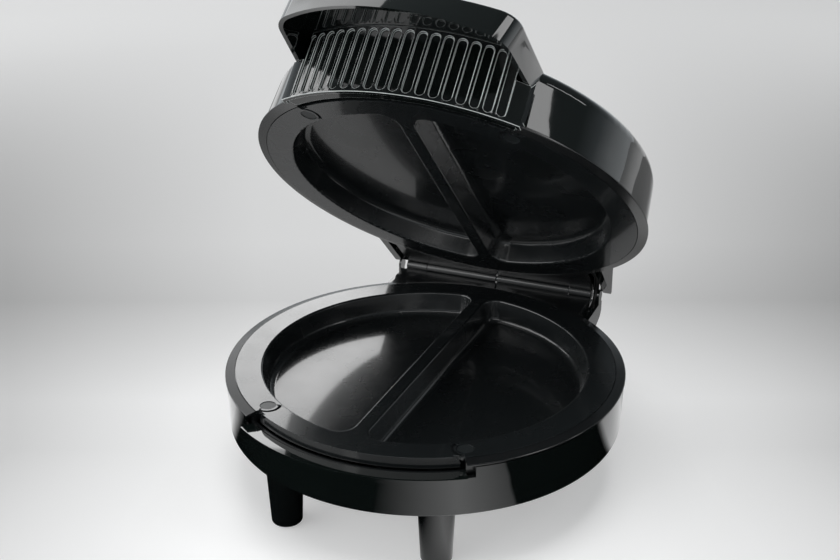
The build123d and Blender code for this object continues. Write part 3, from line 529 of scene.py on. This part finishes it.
lead = bpy.data.objects.new("hinge_lead", lead_mesh)
scene.collection.objects.link(lead)
lead_mesh.materials.clear()
lead_mesh.materials.append(finishes["rubber_black"])
lead_mesh.polygons.foreach_set("use_smooth", [True] * len(lead_mesh.polygons))
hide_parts("interconnect_lead")
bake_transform(lead)
print("lead faces:", len(lead_mesh.polygons))

# %% [markdown]
# ## Floor
# A wide sheet of pale paper stands in for the studio table. Its tone carries
# painted shade: a touch darker towards both sides, in a fan that opens to front
# and rear as under a row of lamps and fades out with distance, and a darker band
# a little behind the object. These are plain ramps on the floor's own position.
# The paper is a little brighter to the eye and in reflections than the light
# that it gives, so that it reads as pale without throwing more light on the object.

# %% Floor
FLOOR_HALF = 6.0
FAN_APEX = 0.81
FADE_FROM = 0.4
FADE_TO = 1.5
FAR_TONE = "#c6c6c6"
PAPER_LIFT = 0.47
HEADING = math.radians(22.98)

floor_mesh = bmesh.new()
bmesh.ops.create_grid(floor_mesh, x_segments=1, y_segments=1, size=FLOOR_HALF)
floor_data = bpy.data.meshes.new("studio_floor")
floor_mesh.to_mesh(floor_data)
floor_mesh.free()
floor = bpy.data.objects.new("studio_floor", floor_data)
scene.collection.objects.link(floor)

paper, surface, place = start_finish("matt_background_paper", "#dcdcdc", 0.7, 1.5)
fill(paper, surface, {"Specular IOR Level": 0.1})
turned = add_node(paper, "ShaderNodeMapping", {"Vector": place, "Rotation": (0, 0, -HEADING)})
axes = add_node(paper, "ShaderNodeSeparateXYZ", {"Vector": turned.outputs["Vector"]})
aside = add_node(paper, "ShaderNodeMath", {0: axes.outputs["X"]}, operation="ABSOLUTE")
away = add_node(paper, "ShaderNodeMath", {0: axes.outputs["Y"]}, operation="ABSOLUTE")
reach = add_node(paper, "ShaderNodeMath", {0: away.outputs["Value"], 1: FAN_APEX}, operation="ADD")
fan = add_node(
    paper,
    "ShaderNodeMath",
    {0: aside.outputs["Value"], 1: reach.outputs["Value"]},
    operation="DIVIDE",
)
from_centre = add_node(paper, "ShaderNodeVectorMath", {0: place}, operation="LENGTH")
fade = add_node(
    paper,
    "ShaderNodeMapRange",
    {"Value": from_centre.outputs["Value"], "From Min": FADE_FROM, "From Max": FADE_TO},
    interpolation_type="SMOOTHSTEP",
)


def set_stops(ramp_node, stops):
    """Give a colour ramp its (position, sRGB hex) stops, from low to high."""
    ramp = ramp_node.color_ramp
    for element, (position, colour) in zip(ramp.elements, (stops[0], stops[-1])):
        element.position = position
        element.color = linear(colour)
    for position, colour in stops[1:-1]:
        ramp.elements.new(position).color = linear(colour)


# Painted shade: the paper darkens towards both sides, as under a row of lamps.
side_shade_ramp = add_node(paper, "ShaderNodeValToRGB", {"Fac": fan.outputs["Value"]})
set_stops(
    side_shade_ramp,
    [(0.0, "#e6e6e6"), (0.13, "#dfdfdf"), (0.19, "#d3d3d3"), (0.26, "#c3c3c3"), (0.32, "#b2b2b2")],
)
# Painted shade: a darker band a little behind the object, paler again further back.
depth = add_node(
    paper, "ShaderNodeMapRange", {"Value": axes.outputs["Y"], "From Min": -1.0, "From Max": 1.0}
)
rear_shade_ramp = add_node(paper, "ShaderNodeValToRGB", {"Fac": depth.outputs["Result"]})
set_stops(
    rear_shade_ramp,
    [(0.53, "#ffffff"), (0.575, "#e2e2e2"), (0.61, "#cccccc"), (0.67, "#d6d6d6"), (1.0, "#d8d8d8")],
)
# Both painted shades together give the paper's tone near the object.
near = add_node(
    paper,
    "ShaderNodeMix",
    {"Factor": 1.0, "A": side_shade_ramp.outputs["Color"], "B": rear_shade_ramp.outputs["Color"]},
    data_type="RGBA",
    blend_type="MULTIPLY",
)
tone = add_node(
    paper,
    "ShaderNodeMix",
    {"Factor": fade.outputs["Result"], "A": near.outputs["Result"], "B": linear(FAR_TONE)},
    data_type="RGBA",
)
seen = add_node(paper, "ShaderNodeLightPath", {})
mirrored = add_node(
    paper,
    "ShaderNodeMath",
    {0: seen.outputs["Is Glossy Ray"], 1: seen.outputs["Is Transmission Ray"]},
    operation="MAXIMUM",
)
looked_at = add_node(
    paper,
    "ShaderNodeMath",
    {0: seen.outputs["Is Camera Ray"], 1: mirrored.outputs["Value"]},
    operation="MAXIMUM",
)
lift = add_node(
    paper, "ShaderNodeMath", {0: looked_at.outputs["Value"], 1: PAPER_LIFT}, operation="MULTIPLY"
)
fill(
    paper,
    surface,
    {
        "Base Color": tone.outputs["Result"],
        "Emission Color": tone.outputs["Result"],
        "Emission Strength": lift.outputs["Value"],
    },
)
floor_data.materials.append(paper)
print("floor:", 2 * FLOOR_HALF, "m")

# %% [markdown]
# ## Black cards
# A studio lays black cards on the table around a glossy product, so that its
# walls turn dark and keep a few pale bands. Here they are one flat ring, spun
# from an edge, that shows only in reflections. It is a painted reflection: dark on
# the glossy walls, with pale bands where it thins or opens. A ramp over its angle
# says where it is solid, where it thins out and where it is open: the angle runs
# once round, with 0.5 at the front.

# %% Cards
RING_INNER = 0.06
RING_OUTER = 1.2
RING_LIFT = 0.001
RING_STEPS = 72
CLEAR = "#000000"
THIN = "#cbcbcb"
SOLID = "#ffffff"
# Degrees round from the front, towards +X, and how much the card covers there
RING_STOPS = [
    (-168, CLEAR),
    (-155, THIN),
    (-95, THIN),
    (-88, CLEAR),
    (-76, CLEAR),
    (-66, SOLID),
    (4, SOLID),
    (33, CLEAR),
    (52, THIN),
    (53, SOLID),
    (102, SOLID),
    (107, CLEAR),
    (128, CLEAR),
    (140, THIN),
    (160, THIN),
    (172, CLEAR),
]

reflection_card, surface, place = start_finish("reflection_only_card", "#050505", 0.9, 1.5)
quarter = add_node(
    reflection_card, "ShaderNodeMapping", {"Vector": place, "Rotation": (0, 0, math.pi / 2)}
)
angle = add_node(
    reflection_card,
    "ShaderNodeTexGradient",
    {"Vector": quarter.outputs["Vector"]},
    gradient_type="RADIAL",
)
cover = add_node(reflection_card, "ShaderNodeValToRGB", {"Fac": angle.outputs["Fac"]})
set_stops(cover, [(0.5 + azimuth / 360, shade) for azimuth, shade in RING_STOPS])
fill(reflection_card, surface, {"Specular IOR Level": 0.0, "Alpha": cover.outputs["Color"]})

ring_mesh = bmesh.new()
rim_ends = [ring_mesh.verts.new((radius, 0, RING_LIFT)) for radius in (RING_INNER, RING_OUTER)]
ring_edge = ring_mesh.edges.new(rim_ends)
bmesh.ops.spin(
    ring_mesh,
    geom=rim_ends + [ring_edge],
    cent=(0, 0, 0),
    axis=(0, 0, 1),
    angle=2 * math.pi,
    steps=RING_STEPS,
    use_merge=True,
    use_normal_flip=False,
)
ring_data = bpy.data.meshes.new("card_ring")
ring_mesh.to_mesh(ring_data)
ring_mesh.free()
ring_data.materials.append(reflection_card)
card_ring = bpy.data.objects.new("card_ring", ring_data)
scene.collection.objects.link(card_ring)
card_ring.visible_camera = False
card_ring.visible_diffuse = False
card_ring.visible_shadow = False
card_ring.visible_transmission = False
print("card ring:", len(ring_data.polygons), "faces")

# %% [markdown]
# ## Lights
# Gloss shows its surroundings, so each soft box is placed by the direction it
# is seen in, and is made wide by the angle it should fill. Power is worked out
# from brightness and area, so a box can be moved or resized and look the same.
# The boxes stand three metres off, which keeps the floor evenly lit.

# %% Soft boxes
BOX_DISTANCE = 3.0
MIDDLE = Vector((0, 0, 0.1))


def soft_box(name, azimuth, elevation, wide, high, brightness):
    """Rectangular lamp seen from the object under the given angles in degrees."""
    turn, rise = math.radians(azimuth), math.radians(elevation)
    towards = Vector(
        (math.sin(turn) * math.cos(rise), -math.cos(turn) * math.cos(rise), math.sin(rise))
    )
    data = bpy.data.lights.new(name, "AREA")
    data.shape = "RECTANGLE"
    data.size = 2 * BOX_DISTANCE * math.tan(math.radians(wide / 2))
    data.size_y = 2 * BOX_DISTANCE * math.tan(math.radians(high / 2))
    data.energy = brightness * math.pi * data.size * data.size_y
    box = bpy.data.objects.new(name, data)
    box.location = MIDDLE + towards * BOX_DISTANCE
    box.rotation_euler = (-towards).to_track_quat("-Z", "Y").to_euler()
    box.visible_camera = False
    scene.collection.objects.link(box)
    print(name, "power", round(data.energy, 1))


# Name, azimuth from the front towards +X, elevation, width and height in degrees,
# and brightness
SOFT_BOXES = [
    ("key_left", -56, 24, 68, 36, 2.2),
    ("rear_left", -149, 23, 12, 17, 2.3),
    ("rear_left_wide", -139.5, 28, 27, 29, 0.85),
    ("left_strip", -100, 16, 8, 26, 2.0),
    ("right_strip", 92, 38, 10, 46, 2.4),
    ("corner_strip", 116, 38, 4, 20, 2.4),
    ("front_bar", 10, 33, 60, 10, 1.7),
    ("top", 0, 89, 30, 30, 5.0),
]
for settings in SOFT_BOXES:
    soft_box(*settings)

# %% [markdown]
# ## Room light
# The rest of the room is dim above and a little paler near the horizon, which
# fills the shadows without flattening the blacks.

# %% World
ROOM_STRENGTH = 0.9

world = bpy.data.worlds.new("studio_room")
world.use_nodes = True
room = world.node_tree.nodes["Background"]
direction = add_node(world, "ShaderNodeTexCoord", {}).outputs["Generated"]
upward = add_node(world, "ShaderNodeSeparateXYZ", {"Vector": direction}).outputs["Z"]
glow = add_node(world, "ShaderNodeValToRGB", {"Fac": upward})
set_stops(
    glow,
    [(0.0, "#d8dde0"), (0.13, "#c4c9cc"), (0.27, "#7c8286"), (0.42, "#484c4e"), (1.0, "#505456")],
)
fill(world, room, {"Color": glow.outputs["Color"], "Strength": ROOM_STRENGTH})
scene.world = world
scene.view_settings.view_transform = "Standard"
print("room light strength:", ROOM_STRENGTH)

# %% [markdown]
# ## Camera
# The camera looks from the front right, 23 degrees round and 23.5 degrees up,
# through a 52 mm lens. It aims at the middle of the base plate, and then slides
# sideways and up, which moves the cooker in the frame without turning the view.

# %% Camera
ELEVATION = math.radians(23.54)
ROLL = math.radians(-0.11)
DISTANCE = 706.93 * MM
LENS_MM = 51.57
AIM = Vector((0, -9.72 * MM, 66.5 * MM))
SLIDE = (-3.03 * MM, 46.05 * MM)

back = Vector(
    (
        math.sin(HEADING) * math.cos(ELEVATION),
        -math.cos(HEADING) * math.cos(ELEVATION),
        math.sin(ELEVATION),
    )
)
right = Vector((math.cos(HEADING), math.sin(HEADING), 0))
up = back.cross(right)
rolled_right = right * math.cos(ROLL) + up * math.sin(ROLL)
rolled_up = -right * math.sin(ROLL) + up * math.cos(ROLL)
camera_data = bpy.data.cameras.new("camera")
camera_data.lens = LENS_MM
camera_data.sensor_width = 36
camera = bpy.data.objects.new("camera", camera_data)
stand = AIM + back * DISTANCE + right * SLIDE[0] + up * SLIDE[1]
stance = Matrix((rolled_right, rolled_up, back)).transposed().to_4x4()
camera.matrix_world = Matrix.Translation(stand) @ stance
scene.collection.objects.link(camera)
scene.camera = camera
print("camera at", camera.matrix_world.translation)
